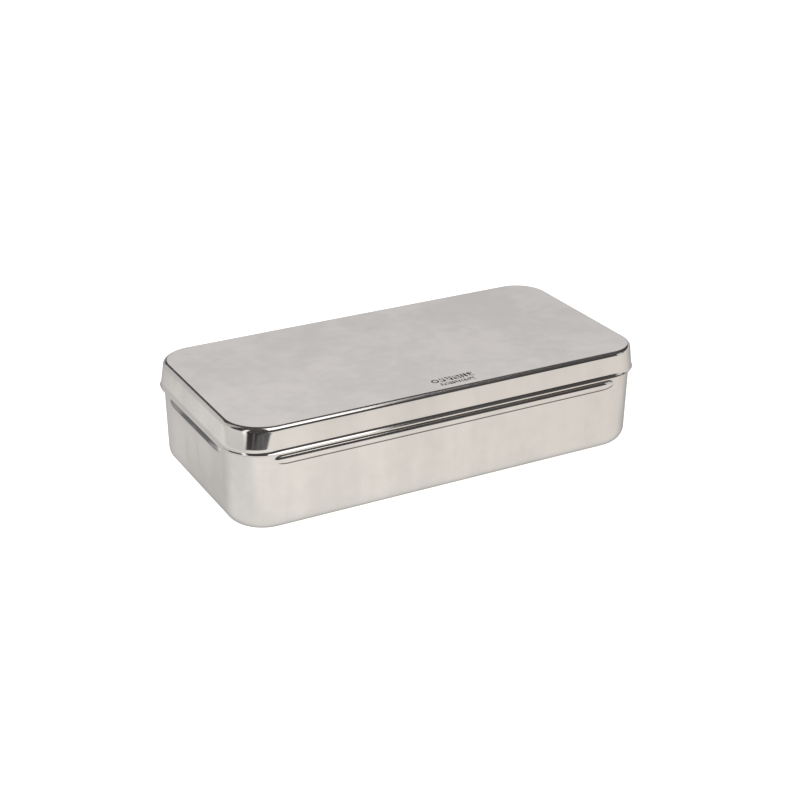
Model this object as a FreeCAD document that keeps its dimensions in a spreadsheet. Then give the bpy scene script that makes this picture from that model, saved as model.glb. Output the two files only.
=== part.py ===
import FreeCAD, Part

import math
import os

import Sketcher
from FreeCAD import Placement, Rotation, Vector

# A lidded instrument tray in pressed stainless sheet: a deep tray with a bead pressed out of each wall,
# and a shallow lid whose leaning skirt slips over the tray's neck. Millimetres, +Z up. The origin is the
# centre of the tray's underside, and X runs along the long side.

DIMENSIONS = [
    # alias, value, what it is
    ("rim_length", 200.0, "lid over its flared rim, long side"),
    ("rim_width", 100.8, "lid over its flared rim, short side"),
    ("closed_height", 47.4, "underside of the tray to the top of the lid"),
    ("sheet", 0.6, "thickness of the pressed sheet"),
    ("lid_depth", 11.6, "top of the lid down to its rim"),
    ("rim_corner", 20.0, "plan radius of the lid's rim at a corner"),
    ("skirt_corner", 17.0, "plan radius of the lid's skirt at a corner, at its foot"),
    ("top_corner", 15.5, "plan radius of the lid's skirt at a corner, at the lid's top"),
    ("lid_edge_radius", 2.2, "outside radius between the lid's top and its skirt"),
    ("flare_out", 1.0, "how far the rim stands out past the skirt's foot"),
    ("flare_height", 2.2, "height of the flared part of the skirt"),
    ("skirt_lean", 1.3, "how far the skirt leans in from its foot to the lid's top"),
    ("wall_inset", 2.35, "rim's outline in to the tray's wall"),
    ("foot_corner", 17.2, "plan radius of the tray's wall at a corner, at the underside"),
    ("neck_corner", 15.1, "plan radius of the tray's wall and neck at a corner, from the shoulder up"),
    ("shoulder", 35.0, "height where the wall becomes the leaning neck"),
    ("neck_lean", 0.55, "how far the neck leans in from the shoulder to the cut edge"),
    ("seat_gap", 0.3, "space between the lid's inner rounding and the tray's edge that carries it"),
    ("foot_radius", 6.8, "outside radius between the tray's wall and its underside"),
    ("bead_height", 32.2, "height of the beads' centre line"),
    ("bead_half_width", 2.1, "half the width of a bead where it leaves the wall"),
    ("bead_rise", 1.5, "how far a bead stands out of the wall"),
    ("long_bead", 166.0, "length of the beads on the long walls"),
    ("short_bead", 56.0, "length of the beads on the short walls"),
]

DERIVED = [
    # alias, formula, what it is
    ("rim_height", "=closed_height - lid_depth", "height of the lid's rim"),
    ("skirt_start", "=rim_height + flare_height", "height where the flare meets the skirt"),
    ("top_inset", "=flare_out + skirt_lean", "rim's outline in to the skirt's plane at the lid's top"),
    ("lid_hollow_top", "=closed_height - sheet", "height of the lid's underside"),
    ("slope", "=skirt_lean / (closed_height - skirt_start)", "the skirt's lean for each mm of height"),
    ("hollow_rise", "=lid_hollow_top - skirt_start", "height of the hollow above the flare"),
    ("hollow_inset", "=flare_out + sheet + slope * hollow_rise", "rim's outline in to the hollow at its top"),
    ("opening_out", "=(top_corner - skirt_corner) / (closed_height - skirt_start)", "corner's growth per mm"),
    ("hollow_corner", "=skirt_corner - sheet + opening_out * hollow_rise", "hollow's corner at its top"),
    ("lid_inner_radius", "=lid_edge_radius - sheet", "inside radius between the lid's top and its skirt"),
    ("seat_run", "=lid_inner_radius * (sqrt(1 + slope^2) - slope)", "that radius's tangent length"),
    ("neck_inset", "=wall_inset + neck_lean", "rim's outline in to the tray's cut edge"),
    ("seat_side", "=hollow_inset + seat_run - neck_inset", "centre of the radius out to the cut edge"),
    ("seat_rise", "=sqrt(lid_inner_radius^2 - seat_side^2)", "centre of the radius up to where they meet"),
    ("seat_height", "=lid_hollow_top - lid_inner_radius + seat_rise", "height of the lid's seat on the tray"),
    ("tray_height", "=seat_height - seat_gap", "height of the tray's cut edge"),
    ("bead_radius", "=(bead_half_width^2 + bead_rise^2) / (2 * bead_rise)", "section radius of a bead"),
    ("bead_depth", "=bead_radius - bead_rise", "wall's outer face in to a bead's axis"),
    ("long_wall_y", "=rim_width / 2 - wall_inset", "centre out to a long wall's outer face"),
    ("short_wall_x", "=rim_length / 2 - wall_inset", "centre out to a short wall's outer face"),
]

# Which way each wall faces, its turn about Z from the front wall, where its face is, and its bead's length.
WALLS = [
    ("front", (0, -1), 0, "dims.long_wall_y", "dims.long_bead"),
    ("right", (1, 0), 90, "dims.short_wall_x", "dims.short_bead"),
    ("back", (0, 1), 180, "dims.long_wall_y", "dims.long_bead"),
    ("left", (-1, 0), 270, "dims.short_wall_x", "dims.short_bead"),
]

START, END, CENTRE = 1, 2, 3  # a sketch's numbers for the points of an edge
X_AXIS, Y_AXIS = -1, -2  # and for its own axes
EDGES_IN_RING = 8  # four straight sides and four corners
LEVEL_WITHIN = 1e-4

doc = FreeCAD.newDocument("instrument_tray")

dims = doc.addObject("Spreadsheet::Sheet", "dims")
for row, (alias, value, meaning) in enumerate(DIMENSIONS + DERIVED, start=1):
    dims.set(f"A{row}", meaning)
    dims.set(f"B{row}", str(value))
    dims.setAlias(f"B{row}", alias)
doc.recompute()


def new_body(name):
    body = doc.addObject("PartDesign::Body", name)
    body.Label = name
    body.Placement = Placement()
    return body


def new_sketch(body, name, height, turn=0, x="0", y="0"):
    """A sketch parallel to the body's own XY plane, turned about Z, with its origin at three formulas."""
    sketch = body.newObject("Sketcher::SketchObject", name)
    plane = next(f for f in body.Origin.OriginFeatures if f.Role == "XY_Plane")
    sketch.AttachmentSupport = [(plane, "")]
    sketch.MapMode = "FlatFace"
    sketch.AttachmentOffset = Placement(Vector(), Rotation(Vector(0, 0, 1), turn))
    for letter, formula in (("x", x), ("y", y), ("z", height)):
        sketch.setExpression(f".AttachmentOffset.Base.{letter}", formula)
    return sketch


def constrain(sketch, *arguments):
    return sketch.addConstraint(Sketcher.Constraint(*arguments))


def bind(sketch, name, formula, *arguments):
    """A dimension with a name, tied to a formula."""
    index = constrain(sketch, *arguments)
    sketch.renameConstraint(index, name)
    sketch.setExpression(f"Constraints.{name}", formula)


def arc(centre_x, centre_y, radius, first_quarter):
    """A quarter circle, starting at that many quarter turns from +X."""
    circle = Part.Circle(Vector(centre_x, centre_y, 0), Vector(0, 0, 1), radius)
    start = first_quarter * math.pi / 2
    return Part.ArcOfCircle(circle, start, start + math.pi / 2)


def line(x0, y0, x1, y1):
    return Part.LineSegment(Vector(x0, y0, 0), Vector(x1, y1, 0))


def outline(body, name, height, inset, corner):
    """The rim's rectangle drawn in by inset, its corners rounded, at a height. All three are formulas."""
    sketch = new_sketch(body, name, height)
    side_x, side_y, radius = 100.0, 50.0, 16.0
    x, y = side_x - radius, side_y - radius
    sketch.addGeometry(line(-x, -side_y, x, -side_y))
    sketch.addGeometry(line(side_x, -y, side_x, y))
    sketch.addGeometry(line(x, side_y, -x, side_y))
    sketch.addGeometry(line(-side_x, y, -side_x, -y))
    for quarter, (cx, cy) in enumerate([(x, -y), (x, y), (-x, y), (-x, -y)]):
        sketch.addGeometry(arc(cx, cy, radius, quarter - 1))
    for side, direction in enumerate(["Horizontal", "Vertical", "Horizontal", "Vertical"]):
        bend = 4 + side
        constrain(sketch, direction, side)
        constrain(sketch, "Tangent", side, END, bend, START)
        constrain(sketch, "Tangent", bend, END, (side + 1) % 4, START)
    for bend in (4, 5, 6):
        constrain(sketch, "Equal", bend, bend + 1)
    constrain(sketch, "Symmetric", 4, CENTRE, 6, CENTRE, X_AXIS, START)
    bind(sketch, "along", f"dims.rim_length - 2 * ({inset})", "DistanceX", 3, START, 1, START, 2 * side_x)
    bind(sketch, "across", f"dims.rim_width - 2 * ({inset})", "DistanceY", 0, START, 2, START, 2 * side_y)
    bind(sketch, "corner", corner, "Radius", 4, radius)
    return sketch


def bead_outline(body, name, wall, radius):
    """Half a capsule on a bead's axis, to be turned about it. radius is a formula."""
    outward, turn, face, length = wall
    reach = f"({face} - dims.bead_depth)"
    sketch = new_sketch(
        body, name, "dims.bead_height", turn, f"{outward[0]} * {reach}", f"{outward[1]} * {reach}"
    )
    end_x, size = 50.0, 3.0
    sketch.addGeometry(line(-end_x - size, 0, end_x + size, 0))
    sketch.addGeometry(arc(end_x, 0, size, 0))
    sketch.addGeometry(line(end_x, size, -end_x, size))
    sketch.addGeometry(arc(-end_x, 0, size, 1))
    constrain(sketch, "Coincident", 0, END, 1, START)
    constrain(sketch, "Tangent", 1, END, 2, START)
    constrain(sketch, "Tangent", 2, END, 3, START)
    constrain(sketch, "Coincident", 3, END, 0, START)
    constrain(sketch, "PointOnObject", 1, CENTRE, X_AXIS)
    constrain(sketch, "PointOnObject", 3, CENTRE, X_AXIS)
    constrain(sketch, "PointOnObject", 0, START, X_AXIS)
    constrain(sketch, "Symmetric", 0, START, 0, END, Y_AXIS)
    constrain(sketch, "Equal", 1, 3)
    bind(sketch, "radius", radius, "Radius", 1, size)
    span = f"{length} - 2 * dims.bead_half_width"
    bind(sketch, "span", span, "DistanceX", 3, CENTRE, 1, CENTRE, 2 * end_x)
    return sketch


def loft(body, kind, name, lower, upper):
    """A straight skin from one outline to the next, filled in or cut away."""
    feature = body.newObject(kind, name)
    feature.Profile = lower
    feature.Sections = [upper]
    feature.Ruled = True
    return feature


def turn_bead(body, kind, name, sketch):
    feature = body.newObject(kind, name)
    feature.Profile = sketch
    feature.ReferenceAxis = (sketch, ["H_Axis"])
    feature.Angle = 360
    return feature


def round_ring(body, name, height, radius):
    """Rounds the level ring of eight edges at a height in mm. radius is a formula."""
    doc.recompute()
    base = body.Tip
    ring = []
    for number, edge in enumerate(base.Shape.Edges, start=1):
        if max(abs(edge.BoundBox.ZMin - height), abs(edge.BoundBox.ZMax - height)) < LEVEL_WITHIN:
            ring.append(f"Edge{number}")
    if len(ring) != EDGES_IN_RING:
        raise RuntimeError(f"{name}: expected {EDGES_IN_RING} level edges, found {len(ring)}")
    feature = body.newObject("PartDesign::Fillet", name)
    feature.Base = (base, ring)
    feature.setExpression("Radius", radius)
    return feature


def make_tray():
    """The deep tray: upright wall, leaning neck, rounded foot, and a hollow bead pressed out of each wall."""
    body = new_body("base_tray")
    foot = outline(body, "foot_outline", "0", "dims.wall_inset", "dims.foot_corner")
    shoulder = outline(body, "shoulder_outline", "dims.shoulder", "dims.wall_inset", "dims.neck_corner")
    edge = outline(body, "edge_outline", "dims.tray_height", "dims.neck_inset", "dims.neck_corner")
    loft(body, "PartDesign::AdditiveLoft", "wall", foot, shoulder)
    loft(body, "PartDesign::AdditiveLoft", "neck", shoulder, edge)
    for name, *wall in WALLS:
        half = bead_outline(body, f"{name}_bead_outline", wall, "dims.bead_radius")
        turn_bead(body, "PartDesign::Revolution", f"{name}_bead", half)
    inner_wall = "dims.wall_inset + dims.sheet"
    inner_corner = "dims.neck_corner - dims.sheet"
    floor = outline(body, "floor_outline", "dims.sheet", inner_wall, "dims.foot_corner - dims.sheet")
    inner_shoulder = outline(body, "inner_shoulder_outline", "dims.shoulder", inner_wall, inner_corner)
    inner_neck = "dims.neck_inset + dims.sheet"
    inner_edge = outline(body, "inner_edge_outline", "dims.tray_height", inner_neck, inner_corner)
    loft(body, "PartDesign::SubtractiveLoft", "cavity", floor, inner_shoulder)
    loft(body, "PartDesign::SubtractiveLoft", "neck_cavity", inner_shoulder, inner_edge)
    # The inner radius comes before the outer one: a square cavity would break through a rounded foot.
    round_ring(body, "floor_edge", dims.sheet, "dims.foot_radius - dims.sheet")
    round_ring(body, "foot_edge", 0, "dims.foot_radius")
    for name, *wall in WALLS:
        half = bead_outline(body, f"{name}_hollow_outline", wall, "dims.bead_radius - dims.sheet")
        turn_bead(body, "PartDesign::Groove", f"{name}_hollow", half)
    return body


def make_lid():
    """The shallow lid: flat top with a rounded edge, and a leaning skirt that flares at its cut rim."""
    body = new_body("lid")
    rim = outline(body, "rim_outline", "dims.rim_height", "0", "dims.rim_corner")
    skirt = outline(body, "skirt_outline", "dims.skirt_start", "dims.flare_out", "dims.skirt_corner")
    top = outline(body, "top_outline", "dims.closed_height", "dims.top_inset", "dims.top_corner")
    loft(body, "PartDesign::AdditiveLoft", "flare", rim, skirt)
    loft(body, "PartDesign::AdditiveLoft", "skirt_and_top", skirt, top)
    inner_corner = "dims.skirt_corner - dims.sheet"
    rim_corner = "dims.rim_corner - dims.sheet"
    inner_rim = outline(body, "inner_rim_outline", "dims.rim_height", "dims.sheet", rim_corner)
    inner_foot = "dims.flare_out + dims.sheet"
    inner_skirt = outline(body, "inner_skirt_outline", "dims.skirt_start", inner_foot, inner_corner)
    hollow = ("dims.lid_hollow_top", "dims.hollow_inset", "dims.hollow_corner")
    inner_top = outline(body, "inner_top_outline", *hollow)
    loft(body, "PartDesign::SubtractiveLoft", "flare_cavity", inner_rim, inner_skirt)
    loft(body, "PartDesign::SubtractiveLoft", "lid_cavity", inner_skirt, inner_top)
    round_ring(body, "inner_top_edge", dims.lid_hollow_top, "dims.lid_inner_radius")
    round_ring(body, "top_edge", dims.closed_height, "dims.lid_edge_radius")
    return body


sub_parts = [make_tray(), make_lid()]
doc.recompute()

for item in doc.Objects:
    if "Invalid" in item.State or "Error" in item.State:
        raise RuntimeError(f"{item.Label} failed: {item.State}")
    if item.isDerivedFrom("Sketcher::SketchObject") and not item.FullyConstrained:
        raise RuntimeError(f"{item.Label} isn't fully constrained")
for part in sub_parts:
    if part.Shape.isNull() or not part.Shape.isValid() or len(part.Shape.Solids) != 1:
        raise RuntimeError(f"{part.Label} isn't one valid solid")

os.makedirs("parts", exist_ok=True)
for part in sub_parts:
    part.Shape.exportStep(f"parts/{part.Label}.step")
    box = part.Shape.BoundBox
    print(
        f"{part.Label}: {box.XLength:.2f} x {box.YLength:.2f} x {box.ZLength:.2f} mm,"
        f" {part.Shape.Volume:.0f} mm3, z {box.ZMin:.2f} to {box.ZMax:.2f}"
    )
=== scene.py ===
"""A closed stainless instrument tray on a pale floor: pressed sheet tray, lift-off lid, soft studio light."""

import math

import bmesh
import bpy
import numpy as np
from mathutils import Matrix, Vector


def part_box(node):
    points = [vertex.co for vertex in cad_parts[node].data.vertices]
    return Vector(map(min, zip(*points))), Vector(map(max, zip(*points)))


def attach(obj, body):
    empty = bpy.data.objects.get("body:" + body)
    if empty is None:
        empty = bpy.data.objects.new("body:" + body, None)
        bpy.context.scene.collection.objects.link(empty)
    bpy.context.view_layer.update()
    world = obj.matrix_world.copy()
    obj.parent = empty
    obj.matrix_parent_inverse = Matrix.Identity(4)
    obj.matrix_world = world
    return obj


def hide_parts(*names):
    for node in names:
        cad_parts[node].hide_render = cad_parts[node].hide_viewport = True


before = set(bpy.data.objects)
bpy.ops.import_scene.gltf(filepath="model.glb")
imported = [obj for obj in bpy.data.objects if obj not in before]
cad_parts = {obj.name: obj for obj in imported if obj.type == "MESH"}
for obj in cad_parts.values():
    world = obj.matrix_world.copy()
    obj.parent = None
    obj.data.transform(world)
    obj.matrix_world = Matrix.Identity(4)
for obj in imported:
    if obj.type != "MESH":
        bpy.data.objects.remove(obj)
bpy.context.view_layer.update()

MM = 0.001

# Sizes in millimetres. The outer sizes come from the frame, the rest are the part's own dimensions.
TRAY_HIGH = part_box("base_tray")[1] / MM
LID_LOW, LID_HIGH = (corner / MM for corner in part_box("lid"))
HALF_LENGTH, HALF_WIDTH = LID_HIGH.x, LID_HIGH.y
RIM_Z, TOP_Z, NECK_TOP_Z = LID_LOW.z, LID_HIGH.z, TRAY_HIGH.z
SHEET = 0.6
CUT_RADIUS = SHEET / 2

# Plan radii at the corners, in the order front right, back right, back left, front left. The lid's top is
# rounder at its left corners, and most at the front left, where the tray's neck is rounder too.
RIM_CORNERS = np.full(4, 20.0)
SKIRT_CORNERS = np.full(4, 17.0)
TOP_CORNERS = np.array([15.2, 15.2, 16.2, 18.0])
FOOT_CORNERS = np.full(4, 17.2)
SHOULDER_CORNERS = np.full(4, 15.1)
NECK_CORNERS = np.array([15.1, 15.1, 15.1, 17.2])

LID_EDGE_RADIUS = 2.2
FLARE_OUT, FLARE_HEIGHT, SKIRT_LEAN = 1.0, 2.2, 1.3
FLARE_TILT = 39.0  # degrees from upright, at the flare's outer end
LIP = 0.4  # upright strip between the flare and the cut edge
LIP_CREASE = 0.06  # height over which the flare turns into the lip
SKIRT_Z = RIM_Z + FLARE_HEIGHT

WALL_INSET, NECK_LEAN, SHOULDER_Z = 2.35, 0.55, 35.0
FOOT_RADIUS = 6.8
FLOOR_INSET = WALL_INSET + FOOT_RADIUS
FLOOR_CORNERS = FOOT_CORNERS - FOOT_RADIUS

BEAD_Z, BEAD_HALF_WIDTH, BEAD_RISE = 32.7, 2.3, 1.5
BEAD_RADIUS = (BEAD_HALF_WIDTH**2 + BEAD_RISE**2) / (2 * BEAD_RISE)
BEAD_DEPTH = BEAD_RADIUS - BEAD_RISE
LONG_BEAD, SHORT_BEAD = 166.0, 56.0
BEAD_TAPER = 7.0  # length over which a bead dies away at its end
BEAD_BLEND = 0.32  # softness of the line where a bead leaves the wall
BEAD_ARC = 66  # degrees of a bead's section, from its crest, that the close rows cover
BEAD_RUNOUT = 0.45  # how far the close rows go on past a bead's foot
BEAD_REACH = 4  # a bead has no effect further than this from its middle line
WALL_ROWS_END = BEAD_Z - 3.2
NECK_ROWS_START = BEAD_Z + BEAD_HALF_WIDTH + 0.6

WALL_WAVE, SKIRT_WAVE, PANEL_WAVE = 0.02, 0.012, 0.03  # how far pressing leaves each surface uneven


# ---------------------------------------------------------------- shapes

def spread(*stretches):
    """Positions from stretches of (start, end, number of steps), without the last end."""
    return np.concatenate([np.linspace(a, b, n, endpoint=False) for a, b, n in stretches])


# Columns of points along each straight wall, from -1 to 1, and round each corner, from 0 to 1. The
# tray's are closest together where the beads end.
TRAY_COLUMNS = {
    "long": spread((-1.0, -0.88, 22), (-0.88, 0.88, 22), (0.88, 1.0, 22)),
    "short": spread((-1.0, -0.9, 2), (-0.9, -0.6, 18), (-0.6, 0.6, 8), (0.6, 0.9, 18), (0.9, 1.0, 2)),
    "arc": spread((0.0, 1.0, 18)),
}
LID_COLUMNS = {
    "long": spread((-1.0, 1.0, 44)),
    "short": spread((-1.0, 1.0, 24)),
    "arc": spread((0.0, 1.0, 30)),
}


def rounded_ring(columns, half_x, half_y, corners):
    """Points and outward directions round a rounded rectangle, and the wall that each point belongs to."""
    points, normals, walls = [], [], []
    for quarter in range(4):
        turn = quarter * math.pi / 2
        reach, out = (half_x, half_y) if quarter % 2 == 0 else (half_y, half_x)
        corner = corners[quarter]
        start, end = corners[quarter - 1] - reach, reach - corner
        u = (columns["long" if quarter % 2 == 0 else "short"] + 1) / 2
        local = np.stack([start + u * (end - start), np.full(len(u), -out)], 1)
        local_normals = np.tile([0.0, -1.0], (len(u), 1))
        angle = columns["arc"] * math.pi / 2 - math.pi / 2
        arc_normals = np.stack([np.cos(angle), np.sin(angle)], 1)
        arc = np.array([end, corner - out]) + corner * arc_normals
        spin = np.array([[math.cos(turn), math.sin(turn)], [-math.sin(turn), math.cos(turn)]])
        points.append(np.concatenate([local, arc]) @ spin)
        normals.append(np.concatenate([local_normals, arc_normals]) @ spin)
        walls.append(np.full(len(u) + len(angle), quarter))
    return np.concatenate(points), np.concatenate(normals), np.concatenate(walls)


def bead_height(points, walls, z, radius, depth):
    """How far a bead lifts the wall at each point: a circular section that dies away at its ends."""
    long_wall = walls % 2 == 0
    along = np.abs(np.where(long_wall, points[:, 0], points[:, 1]))
    half = np.where(long_wall, LONG_BEAD, SHORT_BEAD) / 2
    past = np.maximum(along - (half - BEAD_TAPER), 0) / BEAD_TAPER
    distance = np.hypot(z - BEAD_Z, past * radius)
    inside = np.sqrt(np.maximum(radius**2 - distance**2, 0)) - depth
    # Outside the circle the value goes on falling, so that nothing is left of the soft line there.
    lift = inside - 3 * np.maximum(distance - radius, 0)
    return (lift + np.sqrt(lift**2 + 4 * BEAD_BLEND**2)) / 2


def waviness(points, z, size):
    """The slight unevenness that pressing leaves in a sheet: waves 40 to 100 mm long."""
    x, y = points[:, 0], points[:, 1]
    crossing = np.sin(0.061 * x + 0.9) * np.cos(0.083 * y - 0.4)
    slanting = np.sin(0.127 * x - 0.071 * y + 0.11 * z)
    return size * (crossing + 0.6 * slanting)


def section_arc(inset, z, radius, start, end, steps):
    """(inset, height) along an arc about a centre, by angle from straight outwards, in degrees."""
    angles = np.radians(np.linspace(start, end, steps + 1))
    return [(inset - radius * math.cos(a), z + radius * math.sin(a)) for a in angles]


def skin(name, rings):
    """A closed mesh through rings of points. The first and last rings lie folded on a middle line."""
    vertices = np.concatenate(rings) * MM
    count = len(rings[0])
    faces = []
    for row in range(len(rings) - 1):
        for column in range(count):
            following = (column + 1) % count
            a, b = row * count + column, row * count + following
            faces.append((a, b, b + count, a + count))
    mesh = bpy.data.meshes.new(name)
    mesh.from_pydata(vertices.tolist(), [], faces)
    shape = bmesh.new()
    shape.from_mesh(mesh)
    bmesh.ops.remove_doubles(shape, verts=shape.verts, dist=1e-7)
    bmesh.ops.recalc_face_normals(shape, faces=shape.faces)
    shape.to_mesh(mesh)
    shape.free()
    mesh.shade_smooth()
    piece = bpy.data.objects.new(name, mesh)
    bpy.context.scene.collection.objects.link(piece)
    return piece


def flat_rings(columns, inset, corner, z, wave, steps):
    """Rings from a flat panel's edge to its middle line. The first few keep close to the edge."""
    half_x, half_y = HALF_LENGTH - inset, HALF_WIDTH - inset
    rings = []
    for share in np.concatenate([[0.006, 0.02], np.linspace(0.05, 1.0, steps)]):
        radius = corner * (1 - share)
        points, _, _ = rounded_ring(columns, half_x - share * half_y, half_y * (1 - share), radius)
        # The waves start from nothing at the edge and are at full size a quarter of the way in.
        height = z + waviness(points, z, wave) * min(share * 4, 1)
        rings.append(np.column_stack([points, height]))
    return rings


def wall_corners(z):
    """Plan radii of the tray's outside at a height."""
    if z <= SHOULDER_Z:
        return FOOT_CORNERS + (SHOULDER_CORNERS - FOOT_CORNERS) * z / SHOULDER_Z
    share = (z - SHOULDER_Z) / (NECK_TOP_Z - SHOULDER_Z)
    return SHOULDER_CORNERS + (NECK_CORNERS - SHOULDER_CORNERS) * share


def skirt_corners(z):
    """Plan radii of the lid's outside at a height."""
    if z <= SKIRT_Z:
        share = (SKIRT_Z - z) / FLARE_HEIGHT
        return SKIRT_CORNERS + (RIM_CORNERS - SKIRT_CORNERS) * share
    return SKIRT_CORNERS + (TOP_CORNERS - SKIRT_CORNERS) * (z - SKIRT_Z) / (TOP_Z - SKIRT_Z)


def neck_inset(z):
    """Rim's outline in to the tray's wall or neck at a height."""
    share = max(z - SHOULDER_Z, 0) / (NECK_TOP_Z - SHOULDER_Z)
    return WALL_INSET + NECK_LEAN * share


def run_in(inset, z):
    """How far a point of the lid's section lies inside the lid's outer face at its height."""
    if z <= SKIRT_Z:
        share = (SKIRT_Z - z) / FLARE_HEIGHT
        face = FLARE_OUT * (1 - share)
    else:
        face = FLARE_OUT + SKIRT_LEAN * (z - SKIRT_Z) / (TOP_Z - SKIRT_Z)
    return inset - face


def bead_rows():
    """Heights across a bead, closest together where it leaves the wall."""
    reach = BEAD_RADIUS * np.sin(np.radians(np.linspace(0, BEAD_ARC, 12)))
    foot = np.linspace(reach[-1], BEAD_HALF_WIDTH + BEAD_RUNOUT, 10)[1:]
    half = np.concatenate([reach, foot])
    return BEAD_Z + np.concatenate([-half[::-1], half[1:]])


def make_tray():
    """The tray: underside, foot, wall with its beads, neck, cut edge, and the same inside."""
    wall_rows = np.concatenate([np.linspace(FOOT_RADIUS, WALL_ROWS_END, 8)[1:], bead_rows()])
    neck_rows = np.linspace(NECK_ROWS_START, NECK_TOP_Z - CUT_RADIUS, 7)
    rows = np.concatenate([wall_rows, neck_rows])
    outside = section_arc(FLOOR_INSET, FOOT_RADIUS, FOOT_RADIUS, -90, 0, steps=18)
    outside += [(neck_inset(z), z) for z in rows]
    edge_inset = neck_inset(NECK_TOP_Z) + CUT_RADIUS
    edge = section_arc(edge_inset, NECK_TOP_Z - CUT_RADIUS, CUT_RADIUS, 0, 180, steps=8)[1:-1]
    inside = [(neck_inset(z) + SHEET, z) for z in rows[::-1]]
    inside += section_arc(FLOOR_INSET, FOOT_RADIUS, FOOT_RADIUS - SHEET, 0, -90, steps=14)[1:]

    rings = flat_rings(TRAY_COLUMNS, FLOOR_INSET, FLOOR_CORNERS, z=0.0, wave=0.0, steps=5)[::-1]
    for profile, radius, depth in (
        (outside, BEAD_RADIUS, BEAD_DEPTH),
        (edge, None, None),
        (inside, BEAD_RADIUS - SHEET, BEAD_DEPTH - SHEET),
    ):
        for inset, z in profile:
            # A corner's radius shrinks by as much as the outline is drawn in from the tray's outside.
            corners = wall_corners(z) - (inset - neck_inset(z))
            points, normals, walls = rounded_ring(
                TRAY_COLUMNS, HALF_LENGTH - inset, HALF_WIDTH - inset, corners
            )
            # The underside stays flat: the waves begin 2 mm up and are at full size 6 mm above that.
            lift = waviness(points, z, WALL_WAVE) * np.clip((z - 2) / 6, 0, 1)
            if radius and abs(z - BEAD_Z) < BEAD_REACH:
                lift = lift + bead_height(points, walls, z, radius, depth)
            rings.append(np.column_stack([points + normals * lift[:, None], np.full(len(points), z)]))
    rings += flat_rings(TRAY_COLUMNS, FLOOR_INSET, FLOOR_CORNERS, SHEET, PANEL_WAVE, steps=6)
    return skin("tray_shell", rings)


def lid_sections():
    """(inset, height) down the outside of the lid, and up its inside."""
    lean = SKIRT_LEAN / (TOP_Z - SKIRT_Z)
    lean_angle = math.degrees(math.atan(lean))
    run = LID_EDGE_RADIUS * (math.sqrt(1 + lean**2) - lean)
    centre, round_z = FLARE_OUT + SKIRT_LEAN + run, TOP_Z - LID_EDGE_RADIUS
    outside = section_arc(centre, round_z, LID_EDGE_RADIUS, 90, lean_angle, steps=20)
    skirt_top = outside[-1][1]
    outside += [(FLARE_OUT + lean * (z - SKIRT_Z), z) for z in np.linspace(skirt_top, SKIRT_Z, 9)[1:]]
    # The flare is an arc that starts along the skirt and reaches the rim's outline.
    tilt = np.radians(np.linspace(lean_angle, FLARE_TILT, 13))
    down = np.sin(tilt) - math.sin(tilt[0])
    out = math.cos(tilt[0]) - np.cos(tilt)
    lip_top = RIM_Z + CUT_RADIUS + LIP
    drop = SKIRT_Z - lip_top
    flare = zip(FLARE_OUT * (1 - out / out[-1]), SKIRT_Z - drop * down / down[-1])
    outside += list(flare)[1:]
    outside += [(0.0, lip_top - LIP_CREASE), (0.0, RIM_Z + CUT_RADIUS)]
    inside = [(inset + SHEET, z) for inset, z in outside[::-1] if z <= skirt_top]
    inside += section_arc(centre, round_z, LID_EDGE_RADIUS - SHEET, lean_angle, 90, steps=12)
    return outside, inside


def make_lid():
    """The lid: top with a rounded edge, leaning skirt, flare that fades out at the corners, and cut rim."""
    outside, inside = lid_sections()
    edge = section_arc(CUT_RADIUS, outside[-1][1], CUT_RADIUS, 0, -180, steps=8)[1:-1]
    top_inset = outside[0][0]
    top_corners = skirt_corners(TOP_Z) - run_in(top_inset, TOP_Z)
    rings = flat_rings(LID_COLUMNS, top_inset, top_corners, TOP_Z, PANEL_WAVE, steps=16)[::-1]
    for inset, z in outside + edge + inside:
        corners = skirt_corners(z) - run_in(inset, z)
        points, normals, _ = rounded_ring(LID_COLUMNS, HALF_LENGTH - inset, HALF_WIDTH - inset, corners)
        lift = waviness(points, z, SKIRT_WAVE)
        rings.append(np.column_stack([points + normals * lift[:, None], np.full(len(points), z)]))
    under_inset, under_z = inside[-1]
    under_corners = skirt_corners(under_z) - run_in(under_inset, under_z)
    rings += flat_rings(LID_COLUMNS, under_inset, under_corners, under_z, PANEL_WAVE, steps=8)
    return skin("lid_shell", rings)


# ---------------------------------------------------------------- node graphs

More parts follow.
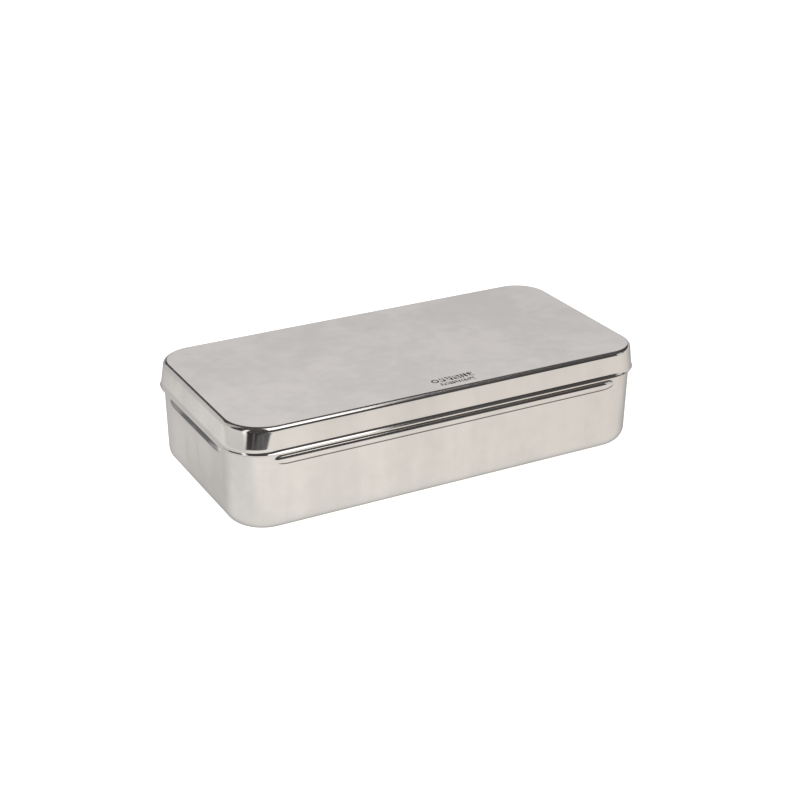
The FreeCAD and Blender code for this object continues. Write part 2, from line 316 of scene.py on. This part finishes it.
class Graph:
    """Short names for building a node tree."""

    def __init__(self, tree):
        self.tree = tree
        tree.nodes.clear()

    def node(self, kind, settings=None, **inputs):
        made = self.tree.nodes.new(kind)
        for key, value in (settings or {}).items():
            setattr(made, key, value)
        for key, value in inputs.items():
            self.feed(made.inputs[key.replace("_", " ")], value)
        return made

    def feed(self, socket, value):
        if isinstance(value, bpy.types.NodeSocket):
            self.tree.links.new(value, socket)
        else:
            socket.default_value = value

    def split(self, vector):
        """A vector's X, Y and Z."""
        return self.node("ShaderNodeSeparateXYZ", Vector=vector).outputs

    def math(self, operation, *values):
        made = self.node("ShaderNodeMath", {"operation": operation})
        for socket, value in zip(made.inputs, values):
            self.feed(socket, value)
        return made.outputs[0]

    def fold(self, operation, first, *others):
        """One operation taken through several values, from the left."""
        for other in others:
            first = self.math(operation, first, other)
        return first

    def total(self, *parts):
        """Sum of (value, weight) pairs."""
        return self.fold("ADD", *(self.math("MULTIPLY", value, weight) for value, weight in parts))

    def angle(self, across, forward):
        """Angle in degrees from forward towards across."""
        return self.math("MULTIPLY", self.math("ARCTAN2", across, forward), 180 / math.pi)

    def ramp(self, value, low, high, start=0.0, end=1.0):
        """start below low, end above high, and a smooth step between them."""
        made = self.node("ShaderNodeMapRange", {"interpolation_type": "SMOOTHSTEP"}, Value=value)
        for key, number in (("From Min", low), ("From Max", high), ("To Min", start), ("To Max", end)):
            self.feed(made.inputs[key], number)
        return made.outputs[0]

    def window(self, value, low, high, soft):
        """One between low and high, with edges that are soft on both sides."""
        rise = self.ramp(value, low - soft, low + soft)
        fall = self.ramp(value, high - soft, high + soft, 1.0, 0.0)
        return self.math("MULTIPLY", rise, fall)

    def blend(self, factor, low, high):
        """One colour at factor 0 and the other at factor 1."""
        made = self.node("ShaderNodeMix", {"data_type": "RGBA"})
        self.feed(made.inputs["Factor"], factor)
        # A mix node has sockets for every data type. These two and the output are the colours.
        self.feed(made.inputs[6], low)
        self.feed(made.inputs[7], high)
        return made.outputs[2]

    def noise(self, place, scale, detail, stretch=(1, 1, 1)):
        """Noise with scale features a metre, drawn out along an axis where stretch is below 1."""
        mapped = self.node("ShaderNodeMapping", Vector=place, Scale=stretch)
        made = self.node("ShaderNodeTexNoise", Vector=mapped.outputs[0], Scale=scale, Detail=detail)
        return made.outputs[0]

    def finish(self, shader, kind):
        """Join the last shader to the tree's output."""
        self.tree.links.new(shader.outputs[0], self.node(kind).inputs[0])


def new_material(name):
    """A material and its empty graph."""
    material = bpy.data.materials.new(name)
    material.use_nodes = True
    return material, Graph(material.node_tree)


# ---------------------------------------------------------------- materials

STEEL = (0.50, 0.480, 0.462)
DARKER, LIGHTER = (0.93, 0.935, 0.93), (1.04, 1.035, 1.03)  # shares of the steel's colour
EDGE_TINT = (0.45, 0.45, 0.46, 1)  # worn steel stays grey at a glancing angle
PIT_COLOUR = (0.25, 0.24, 0.23, 1)
# Painted shade: a dark colour laid in patches on the left wall's bead, standing in for shade and a dark
# reflection.
BEAD_SHADE_COLOUR = (0.10, 0.10, 0.10, 1)
MARK_COLOUR = (0.05, 0.048, 0.045, 1)
CLOUD_ROUGHNESS, SCRATCH_ROUGHNESS, MARK_ROUGHNESS = 0.08, 0.03, 0.15  # what each adds
SHADE_RANGE = (0.38, 0.62)  # from the darker colour to the lighter, by the noises together
BEAD_SHADE_RANGE, BEAD_SHADE_SHARE = (0.36, 0.56), (0.55, 0.95)  # the noise of the left bead's painted shade, and the shares of painted shade it gives
PIT_EDGE, PIT_SHARE = (0.05, 0.10), 0.22  # the rim of a pit, and how much of its colour shows
BUMP_STRENGTH, BUMP_DEPTH = 0.25, 0.02 * MM

# Noises: features a metre, detail, and how they are drawn out along X, Y and Z.
CLOUD = (22.0, 3.0)
MOTTLE = (160.0, 3.0)
DRAWN = (70.0, 2.0, (1, 1, 0.12))
STREAK = (260.0, 2.0, (1, 1, 0.06))
SCRATCH = (2600.0, 2.0, (0.12, 1, 1))
BEAD_SHADE_NOISE = (110.0, 3.0, (1, 0.35, 1))
PITS_A_METRE = 300.0

# The mark's two rows: X from and to, Y from and to, width of a group of cells, height of a cell, and the
# share of cells left blank.
MARK_ROWS = (
    (-1.2, 15.0, -40.2, -36.4, 1.8, 0.76, 0.30),
    (-2.8, 14.0, -43.8, -41.3, 1.4, 0.62, 0.36),
)
MARK_GROUP_FILLED = 0.78  # share of a group's width before the gap
MARK_CELL_WIDTH = 0.26  # share of a group's width
RING_X, RING_Y = -3.4, -38.3
RING_INNER, RING_OUTER = 1.0, 1.7


def etched_mark(graph, place):
    """A small block of meaningless etched cells near the lid's front edge: two rows and a ring."""
    x, y, z = (graph.math("DIVIDE", part, MM) for part in graph.split(place))
    marks = []
    for low_x, high_x, low_y, high_y, group, cell_height, blank in MARK_ROWS:
        # Fifty groups are added so that the remainder is taken of a positive number.
        within = graph.math("MODULO", graph.math("ADD", x, 50 * group), group)
        column = graph.math("FLOOR", graph.math("DIVIDE", x, group * MARK_CELL_WIDTH))
        row = graph.math("FLOOR", graph.math("DIVIDE", y, cell_height))
        cell = graph.node("ShaderNodeCombineXYZ", X=column, Y=row)
        random = graph.node("ShaderNodeTexWhiteNoise", Vector=cell.outputs[0]).outputs[0]
        marks.append(graph.fold(
            "MULTIPLY",
            graph.window(x, low_x, high_x, soft=0.04),
            graph.window(y, low_y, high_y, soft=0.04),
            graph.math("LESS_THAN", within, group * MARK_GROUP_FILLED),
            graph.math("GREATER_THAN", random, blank),
        ))
    squares = (graph.math("POWER", graph.math("SUBTRACT", a, b), 2.0) for a, b in ((x, RING_X), (y, RING_Y)))
    away = graph.math("SQRT", graph.math("ADD", *squares))
    ring = graph.window(away, RING_INNER, RING_OUTER, soft=0.08)
    on_top = graph.math("GREATER_THAN", z, TOP_Z - 0.5)
    return graph.math("MULTIPLY", graph.fold("MAXIMUM", *marks, ring), on_top)


def left_bead_painted_shade(graph, place, height):
    """Where the left wall's bead gets painted shade: a darker colour in patches, in place of the shade and
    dark reflection that it shows.
    """
    wall_x = WALL_INSET - HALF_LENGTH
    x = graph.math("DIVIDE", graph.split(place)[0], MM)
    return graph.fold(
        "MULTIPLY",
        graph.ramp(x, wall_x - 0.9, wall_x - 0.15, 1.0, 0.0),
        graph.window(height, BEAD_Z - 1.5, BEAD_Z + 2.2, soft=0.3),
        graph.ramp(graph.noise(place, *BEAD_SHADE_NOISE), *BEAD_SHADE_RANGE, *BEAD_SHADE_SHARE),
    )


def steel(name, satin, polished, band, has_mark=False, has_painted_bead_shade=False):
    """Stainless sheet: cloudy, finely scratched and pitted, and smoother in a band of heights."""
    material, graph = new_material(name)
    place = graph.node("ShaderNodeTexCoord").outputs["Object"]
    height = graph.math("DIVIDE", graph.split(place)[2], MM)
    cloud = graph.noise(place, *CLOUD)
    mottle = graph.noise(place, *MOTTLE)
    drawn = graph.noise(place, *DRAWN)
    streak = graph.noise(place, *STREAK)
    scratch = graph.noise(place, *SCRATCH)
    speck = graph.node("ShaderNodeTexVoronoi", Vector=place, Scale=PITS_A_METRE).outputs["Distance"]
    pit = graph.ramp(speck, *PIT_EDGE, 1.0, 0.0)

    polish = graph.window(height, *band, soft=0.4)
    unevenness = graph.total((cloud, CLOUD_ROUGHNESS), (scratch, SCRATCH_ROUGHNESS))
    rough = graph.math("ADD", satin - CLOUD_ROUGHNESS / 2, unevenness)
    drop = graph.math("MULTIPLY", graph.math("SUBTRACT", rough, polished), polish)
    rough = graph.math("SUBTRACT", rough, drop)

    shade = graph.total((cloud, 0.4), (drawn, 0.3), (mottle, 0.2), (streak, 0.1))
    shade = graph.ramp(shade, *SHADE_RANGE)
    darker, lighter = ((*np.multiply(STEEL, shares), 1) for shares in (DARKER, LIGHTER))
    colour = graph.blend(shade, darker, lighter)
    colour = graph.blend(graph.math("MULTIPLY", pit, PIT_SHARE), colour, PIT_COLOUR)
    if has_painted_bead_shade:
        # Painted shade on the left wall's bead: its colour is darkened in patches.
        colour = graph.blend(left_bead_painted_shade(graph, place, height), colour, BEAD_SHADE_COLOUR)
    if has_mark:
        mark = etched_mark(graph, place)
        colour = graph.blend(mark, colour, MARK_COLOUR)
        rough = graph.math("ADD", rough, graph.math("MULTIPLY", mark, MARK_ROUGHNESS))

    relief = graph.total((streak, 0.6), (scratch, 0.2), (pit, -0.5))
    bump = graph.node("ShaderNodeBump", Strength=BUMP_STRENGTH, Distance=BUMP_DEPTH, Height=relief)
    shader = graph.node("ShaderNodeBsdfPrincipled", Base_Color=colour, Roughness=rough, Metallic=1.0)
    graph.feed(shader.inputs["Normal"], bump.outputs[0])
    shader.inputs["Specular Tint"].default_value = EDGE_TINT
    graph.finish(shader, "ShaderNodeOutputMaterial")
    return material


# ---------------------------------------------------------------- studio

CAMERA_AZIMUTH = math.radians(-28.307)
CAMERA_ELEVATION = math.radians(24.346)
CAMERA_ROLL = math.radians(0.087)
CAMERA_DISTANCE = 0.72976
CAMERA_TARGET = Vector((0.00040, 0.0, 0.02269))
CAMERA_LENS = 73.096

# Azimuths are in degrees from the front, positive to the right, and elevations in degrees.
# Upright light panels: azimuth from and to, softness of the sides, elevations where the panel starts to
# fade and where it ends, and brightness.
PANELS = (
    (-74.0, -62.0, 3.0, 48.0, 56.0, 1.8),  # narrow box on the left, for the front left corner
    (125.0, 169.0, 3.0, 34.0, 52.0, 1.45),  # wall that the lid's top reflects
    (-168.0, -128.0, 3.0, 24.0, 32.0, 1.05),  # wall that the lid's left skirt reflects
    (-144.0, -112.0, 4.0, 55.0, 70.0, 0.8),  # dimmer panel at the back left
    (42.0, 66.0, 2.0, 26.0, 34.0, 0.95),  # dimmer panel at the front right
    (68.0, 128.0, 3.0, 13.0, 18.0, 1.15),  # the ends of the studio, pale as far up as a low view sees
    (-128.0, -68.0, 3.0, 13.0, 18.0, 1.15),
)
# The box over the front: azimuth where it begins, angle over the front horizon with its softness, share
# of the direction along X where it ends, and brightness.
FRONT_BOX_START, FRONT_BOX_OVER, FRONT_BOX_END = (-8.0, -1.0), (43.0, 88.0, 1.5), (0.411, 0.427)
FRONT_BOX_BRIGHTNESS = 2.8
# Low lights: elevations where each fades and ends, brightness, and none above that.
BACK_LOW = (12.0, 15.0, 1.05, 0.0)
HORIZON = (1.0, 3.5, 1.2, 0.0)
BACK_RIGHT_END, BACK_LEFT_END = 150.0, -165.0  # azimuths that the low light straight behind lies between
CAMERA_SIDE = (-60.0, -8.0, 2.0)  # azimuth from and to, and softness
ROOM_RANGE, ROOM_BRIGHTNESS = (0.40, 0.66), (0.06, 0.20)  # the dark room's noise, and what it gives off
ROOM_NOISE = (9.0, 3.0)
WORLD_COLOUR = (1.0, 0.995, 1.01, 1)

# What the floor gives off. Over 1 it is brighter than white, and that only shows in reflections.
FRONT_LEFT_GLOW, FRONT_RIGHT_GLOW = (1.50, 1.47, 1.43, 1), (1.30, 1.25, 1.20, 1)
BACK_LEFT_GLOW, NEAR_GLOW, FAR_GLOW = (1.55, 1.55, 1.53, 1), (1.30, 1.30, 1.28, 1), (1.14, 1.14, 1.12, 1)
STAND_DARK, STAND_LIGHT = (0.06, 0.06, 0.065, 1), (0.38, 0.38, 0.39, 1)
# Where one light on the floor gives way to another, in metres or in degrees of azimuth.
FRONT_DEPTH, FRONT_START, FRONT_SPAN = (-0.07, -0.03), (-64.0, -52.0), (-0.12, 0.16)
BACK_LEFT_FADE, NEAR_END = (-116.0, -88.0), (0.18, 0.30)
STAND_SIDES, STAND_START, STAND_RANGE = (-62.0, -6.0, 4.0), (0.50, 0.60), (0.42, 0.62)
FLOOR_GLOW = 0.98
FLOOR_COLOUR = (0.04, 0.04, 0.04, 1)
FLOOR_SIZE, FLOOR_Z = 14.0, -0.00005


def make_camera():
    """The main camera, turned slightly about its own line of sight."""
    data = bpy.data.cameras.new("camera")
    data.sensor_width = 36.0
    data.lens = CAMERA_LENS
    data.clip_end = 50.0
    camera = bpy.data.objects.new("camera", data)
    bpy.context.scene.collection.objects.link(camera)
    level = math.cos(CAMERA_ELEVATION)
    back = Vector((
        math.sin(CAMERA_AZIMUTH) * level,
        -math.cos(CAMERA_AZIMUTH) * level,
        math.sin(CAMERA_ELEVATION),
    ))
    side = Vector((0, 0, 1)).cross(back).normalized()
    up = back.cross(side)
    right = side * math.cos(CAMERA_ROLL) + up * math.sin(CAMERA_ROLL)
    above = back.cross(right)
    turn = Matrix((right, above, back)).transposed().to_4x4()
    camera.matrix_world = Matrix.Translation(CAMERA_TARGET + back * CAMERA_DISTANCE) @ turn
    bpy.context.scene.camera = camera


def make_world():
    """Studio surroundings by direction: light panels in a dark room, pale low down except by the camera."""
    world = bpy.data.worlds.new("studio")
    bpy.context.scene.world = world
    world.use_nodes = True
    graph = Graph(world.node_tree)
    direction = graph.node("ShaderNodeTexCoord").outputs["Generated"]
    x, y, z = graph.split(direction)
    forward = graph.math("MULTIPLY", y, -1.0)
    elevation = graph.math("MULTIPLY", graph.math("ARCSINE", z), 180 / math.pi)
    azimuth = graph.angle(x, forward)
    # Angle above the front horizon seen along X: what a long front edge reflects as it turns over.
    over = graph.angle(z, forward)

    lights = []
    for *sides, fade, end, brightness in PANELS:
        height = graph.ramp(elevation, fade, end, brightness, 0.0)
        lights.append(graph.math("MULTIPLY", graph.window(azimuth, *sides), height))
    # A box over the front, which ends where the polished front edges turn from white to dark.
    lights.append(graph.fold(
        "MULTIPLY",
        graph.ramp(azimuth, *FRONT_BOX_START),
        graph.window(over, *FRONT_BOX_OVER),
        graph.ramp(x, *FRONT_BOX_END, 1.0, 0.0),
        FRONT_BOX_BRIGHTNESS,
    ))
    straight_back = graph.math(
        "MAXIMUM",
        graph.math("GREATER_THAN", azimuth, BACK_RIGHT_END),
        graph.math("LESS_THAN", azimuth, BACK_LEFT_END),
    )
    lights.append(graph.math("MULTIPLY", straight_back, graph.ramp(elevation, *BACK_LOW)))
    away_from_camera = graph.math("SUBTRACT", 1.0, graph.window(azimuth, *CAMERA_SIDE))
    lights.append(graph.math("MULTIPLY", graph.ramp(elevation, *HORIZON), away_from_camera))

    room = graph.ramp(graph.noise(direction, *ROOM_NOISE), *ROOM_RANGE, *ROOM_BRIGHTNESS)
    background = graph.node("ShaderNodeBackground", Strength=graph.fold("MAXIMUM", room, *lights))
    background.inputs["Color"].default_value = WORLD_COLOUR
    graph.finish(background, "ShaderNodeOutputWorld")


def make_floor():
    """A pale floor that glows, warmer and dimmer from left to right in front, and evenly further off."""
    bpy.ops.mesh.primitive_plane_add(size=FLOOR_SIZE, location=(0, 0, FLOOR_Z))
    floor = bpy.context.object
    floor.name = "studio_floor"
    material, graph = new_material("pale_floor")
    place = graph.node("ShaderNodeTexCoord").outputs["Object"]
    x, y, _ = graph.split(place)
    azimuth = graph.angle(x, graph.math("MULTIPLY", y, -1.0))
    distance = graph.node("ShaderNodeVectorMath", {"operation": "LENGTH"})
    graph.feed(distance.inputs[0], place)
    distance = distance.outputs["Value"]

    before_tray = graph.ramp(y, *FRONT_DEPTH, 1.0, 0.0)
    in_front = graph.math("MULTIPLY", before_tray, graph.ramp(azimuth, *FRONT_START))
    front = graph.blend(graph.ramp(x, *FRONT_SPAN), FRONT_LEFT_GLOW, FRONT_RIGHT_GLOW)
    near = graph.blend(graph.ramp(azimuth, *BACK_LEFT_FADE), BACK_LEFT_GLOW, NEAR_GLOW)
    beside = graph.blend(graph.ramp(distance, *NEAR_END), near, FAR_GLOW)
    glow = graph.blend(in_front, beside, front)
    # The camera and its stand, well outside every view, darken what the front left corner reflects.
    stand = graph.math("MULTIPLY", graph.window(azimuth, *STAND_SIDES), graph.ramp(distance, *STAND_START))
    dapple = graph.ramp(graph.noise(place, *ROOM_NOISE), *STAND_RANGE)
    dark = graph.blend(dapple, STAND_DARK, STAND_LIGHT)
    glow = graph.blend(stand, glow, dark)

    emission = graph.node("ShaderNodeEmission", Color=glow, Strength=FLOOR_GLOW)
    diffuse = graph.node("ShaderNodeBsdfDiffuse")
    diffuse.inputs["Color"].default_value = FLOOR_COLOUR
    both = graph.node("ShaderNodeAddShader")
    graph.feed(both.inputs[0], emission.outputs[0])
    graph.feed(both.inputs[1], diffuse.outputs[0])
    graph.finish(both, "ShaderNodeOutputMaterial")
    floor.data.materials.append(material)


# ---------------------------------------------------------------- the scene

tray = make_tray()
tray.data.materials.append(
    steel("tray_steel_satin", 0.20, 0.07, (BEAD_Z - 3, BEAD_Z + 3), has_painted_bead_shade=True)
)
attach(tray, "tray")
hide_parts("base_tray")

lid = make_lid()
lid.data.materials.append(
    steel("lid_steel_polished", 0.16, 0.06, (RIM_Z - 1, TOP_Z - 0.6), has_mark=True)
)
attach(lid, "lid")
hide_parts("lid")

make_floor()
make_world()
make_camera()
bpy.context.scene.view_settings.view_transform = "Standard"
